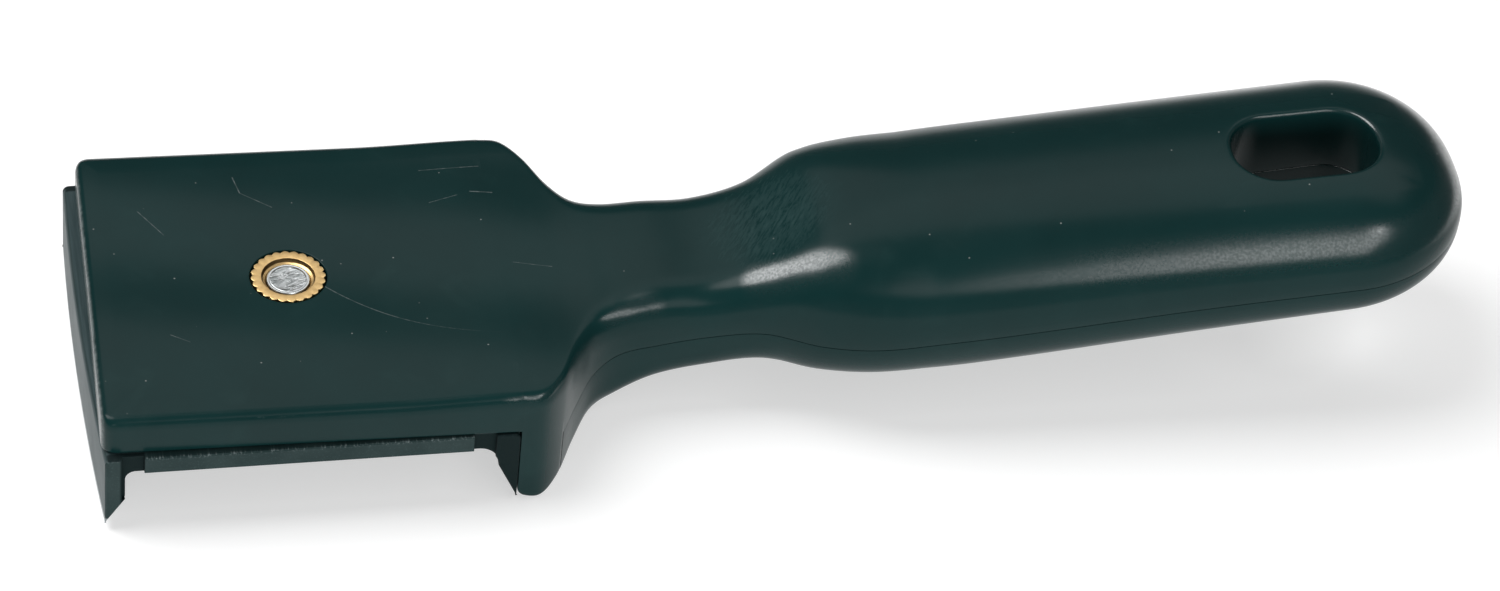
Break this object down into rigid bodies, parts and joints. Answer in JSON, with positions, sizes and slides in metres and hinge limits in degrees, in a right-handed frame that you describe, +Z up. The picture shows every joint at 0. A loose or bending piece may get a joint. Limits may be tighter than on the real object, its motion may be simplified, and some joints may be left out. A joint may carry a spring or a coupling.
{
  "type": "paint scraper",
  "caption": "Hand paint scraper: a two-edged reversible blade clamped by a screw under a flat square head, with a finger guard, waisted neck and oval grip with a hanging slot.",
  "frame": {"origin": "under the middle of the tool's box, at the height of its lowest point, the finger guard", "axes": "+X along the handle from the blade to the end of the grip, +Z up out of the top of the head"},
  "size_m": [0.21, 0.061, 0.0382],
  "materials": {
    "handle_plastic": "moulded, semi-gloss, very dark green-black",
    "insert_brass": "turned and knurled",
    "plated_steel": "bright zinc plate",
    "blade_steel": "dark rolled sheet with ground edges"
  },
  "bodies": {
    "handle": {"handle_upper_shell": "handle_plastic", "handle_lower_shell": "handle_plastic", "threaded_insert": "insert_brass"},
    "clamp": {"plain_washer": "plated_steel", "spring_washer": "plated_steel"},
    "screw": {"clamp_screw": "plated_steel"},
    "blade": {"blade": "blade_steel"}
  },
  "joints": [
    {"name": "clamp_release", "type": "slide", "parent": "handle", "child": "clamp", "axis": [0, 0, -1], "range_m": [0, 0.004]},
    {"name": "screw_turn", "type": "hinge", "parent": "clamp", "child": "screw", "pos_m": [-0.07372, 0, 0], "axis": [0, 0, -1], "range_deg": [0, 1440]},
    {"name": "blade_swivel", "type": "hinge", "parent": "clamp", "child": "blade", "pos_m": [-0.07372, 0, 0], "axis": [0, 0, 1], "range_deg": [-3.4, 0]}
  ],
  "couplings": [
    {"joint": "screw_turn", "follows": "clamp_release", "rad_per_m": 6283.2}
  ]
}
